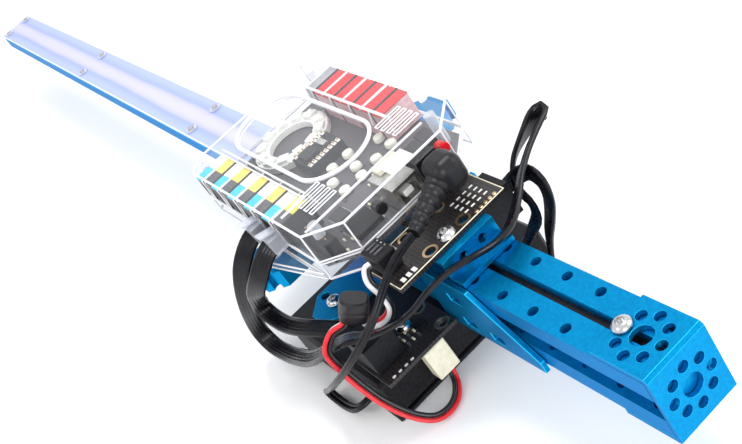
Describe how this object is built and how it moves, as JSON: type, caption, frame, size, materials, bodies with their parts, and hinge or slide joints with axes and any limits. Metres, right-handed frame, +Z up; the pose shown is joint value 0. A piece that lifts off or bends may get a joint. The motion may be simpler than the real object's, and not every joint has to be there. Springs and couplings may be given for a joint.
{
  "type": "toy sword",
  "caption": "Light-up toy sword built from drilled beams, with a crossguard, clear controller case and battery box.",
  "frame": {"origin": "middle of the sword's length and width, on the table under the battery box", "axes": "+X runs from the blade's tip to the pommel, +Y to the back of the handle, +Z up from the table"},
  "size_m": [0.6906, 0.1208, 0.0778],
  "materials": {
    "blue_anodised": "satin blue anodising",
    "screw_steel": "polished",
    "frosted_acrylic": "frosted",
    "strip_backing": "satin",
    "clear_plastic": "clear",
    "grey_board": "solder mask",
    "black_board": "solder mask",
    "black_plastic": "satin",
    "red_plastic": "satin",
    "grey_plastic": "satin",
    "white_plastic": "satin",
    "cream_nylon": "satin",
    "cell_sleeve": "printed sleeve",
    "socket_steel": "bright",
    "cable_jacket": "satin",
    "wire_red": "satin"
  },
  "bodies": {
    "sword": {"adapter_board": "black_board", "adapter_header": "black_plastic", "adapter_mount": "blue_anodised", "adapter_socket": "black_plastic", "battery_box": "black_plastic", "battery_cell_1": "cell_sleeve", "battery_cell_2": "cell_sleeve", "battery_cell_3": "cell_sleeve", "battery_cell_4": "cell_sleeve", "battery_cell_5": "cell_sleeve", "battery_cell_6": "cell_sleeve", "battery_lead": "cable_jacket", "battery_plug": "black_plastic", "battery_strap": "blue_anodised", "blade_beam": "blue_anodised", "blade_cover": "frosted_acrylic", "case_base": "clear_plastic", "case_cover": "clear_plastic", "controller_board": "grey_board", "cover_screw_1_back": "clear_plastic", "cover_screw_1_front": "clear_plastic", "cover_screw_2_back": "clear_plastic", "cover_screw_2_front": "clear_plastic", "cover_screw_3_back": "clear_plastic", "cover_screw_3_front": "clear_plastic", "crossguard": "blue_anodised", "gusset_bracket": "blue_anodised", "handle_bottom_beam": "blue_anodised", "handle_core_beam": "blue_anodised", "handle_top_beam": "blue_anodised", "indicator_ring": "white_plastic", "light_strip": "strip_backing", "long_ribbon_cable": "cable_jacket", "motor_port_1": "grey_plastic", "motor_port_2": "red_plastic", "motor_port_3": "red_plastic", "motor_port_4": "red_plastic", "motor_port_5": "red_plastic", "plug_lead": "wire_red", "pommel_bracket": "blue_anodised", "pommel_screw": "screw_steel", "power_jack": "black_plastic", "radio_module": "black_plastic", "sensor_board": "black_board", "sensor_plug": "cream_nylon", "sensor_port_1": "black_plastic", "sensor_port_2": "black_plastic", "sensor_port_3": "black_plastic", "sensor_port_4": "black_plastic", "sensor_port_5": "black_plastic", "sensor_screw": "screw_steel", "sensor_socket": "black_plastic", "short_ribbon_cable": "cable_jacket", "splice_lead": "wire_red", "strap_screw": "screw_steel", "usb_socket": "socket_steel", "wire_sleeve": "black_plastic"},
    "lid": {"battery_lid": "black_plastic"},
    "power_key": {"power_button": "red_plastic"},
    "reset_key": {"reset_button": "black_plastic"}
  },
  "joints": [
    {"name": "lid_slide", "type": "slide", "parent": "sword", "child": "lid", "axis": [-1, 0, 0], "range_m": [0, 0.08]},
    {"name": "power_press", "type": "slide", "parent": "sword", "child": "power_key", "axis": [-1, 0, 0], "range_m": [0, 0.0015], "stiffness_N_per_m": 800},
    {"name": "reset_press", "type": "slide", "parent": "sword", "child": "reset_key", "axis": [-1, 0, 0], "range_m": [0, 0.0006], "stiffness_N_per_m": 800}
  ]
}
